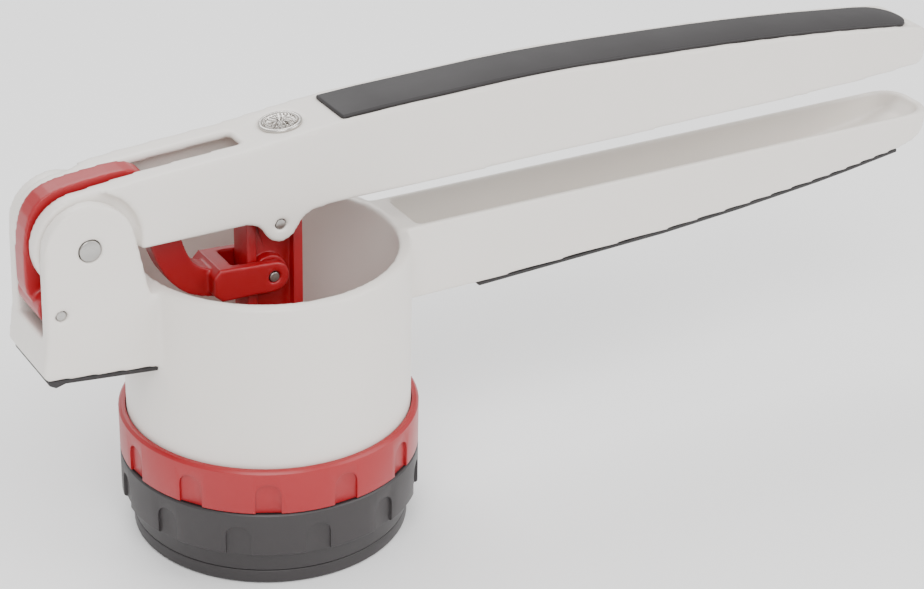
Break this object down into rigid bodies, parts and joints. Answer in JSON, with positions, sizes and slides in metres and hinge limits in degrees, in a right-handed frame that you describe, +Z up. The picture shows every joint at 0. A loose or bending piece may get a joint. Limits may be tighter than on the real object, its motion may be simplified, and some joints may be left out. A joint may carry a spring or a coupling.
{
  "type": "potato ricer",
  "caption": "Long-handled lever press with a round hopper, a hinged plunger on a linkage and two twist-on perforated rings.",
  "frame": {"origin": "middle of the press's box, on the ground that the base ring stands on", "axes": "+Z up, along the hopper; +X from the hopper along the handles"},
  "size_m": [0.31, 0.0888, 0.1305],
  "materials": {
    "white_abs": "satin moulded",
    "red_nylon": "satin moulded",
    "charcoal_nylon": "fine moulded grain",
    "soft_rubber": "soft matt",
    "steel_pins": "turned",
    "bright_nickel": "bright"
  },
  "bodies": {
    "hopper": {"body_shell": "white_abs", "tower_foot_pad": "soft_rubber", "lower_grip": "soft_rubber", "hinge_pin": "steel_pins", "link_pivot_pin": "steel_pins", "link_washer_near": "steel_pins", "link_washer_far": "steel_pins"},
    "lever": {"upper_handle": "white_abs", "upper_grip": "soft_rubber", "badge": "bright_nickel", "lug_pin": "steel_pins"},
    "link": {"link_arm": "red_nylon", "clevis_pin": "steel_pins"},
    "plunger": {"plunger_column": "red_nylon", "plunger_plate": "red_nylon", "plate_screw": "steel_pins"},
    "upper_ring": {"fine_ring": "red_nylon", "fine_disc": "red_nylon"},
    "lower_ring": {"coarse_ring": "charcoal_nylon", "coarse_disc": "charcoal_nylon", "base_ring": "charcoal_nylon"}
  },
  "joints": [
    {"name": "lever_hinge", "type": "hinge", "parent": "hopper", "child": "lever", "pos_m": [-0.1396, 0, 0.1061], "axis": [0, -1, 0], "range_deg": [0, 40]},
    {"name": "link_pivot", "type": "hinge", "parent": "hopper", "child": "link", "pos_m": [-0.1487, 0, 0.0883], "axis": [0, -1, 0], "range_deg": [0, 36]},
    {"name": "plunger_pivot", "type": "hinge", "parent": "lever", "child": "plunger", "pos_m": [-0.0815, 0, 0.1003], "axis": [0, -1, 0], "range_deg": [-35, 0]},
    {"name": "fine_ring_twist", "type": "hinge", "parent": "hopper", "child": "upper_ring", "pos_m": [-0.081, 0, 0.032], "axis": [0, 0, 1], "range_deg": [0, 30]},
    {"name": "coarse_ring_twist", "type": "hinge", "parent": "upper_ring", "child": "lower_ring", "pos_m": [-0.081, 0, 0.018], "axis": [0, 0, 1], "range_deg": [0, 30]}
  ],
  "couplings": [
    {"joint": "link_pivot", "follows": "lever_hinge", "ratio": 0.87},
    {"joint": "plunger_pivot", "follows": "lever_hinge", "ratio": -0.85}
  ]
}
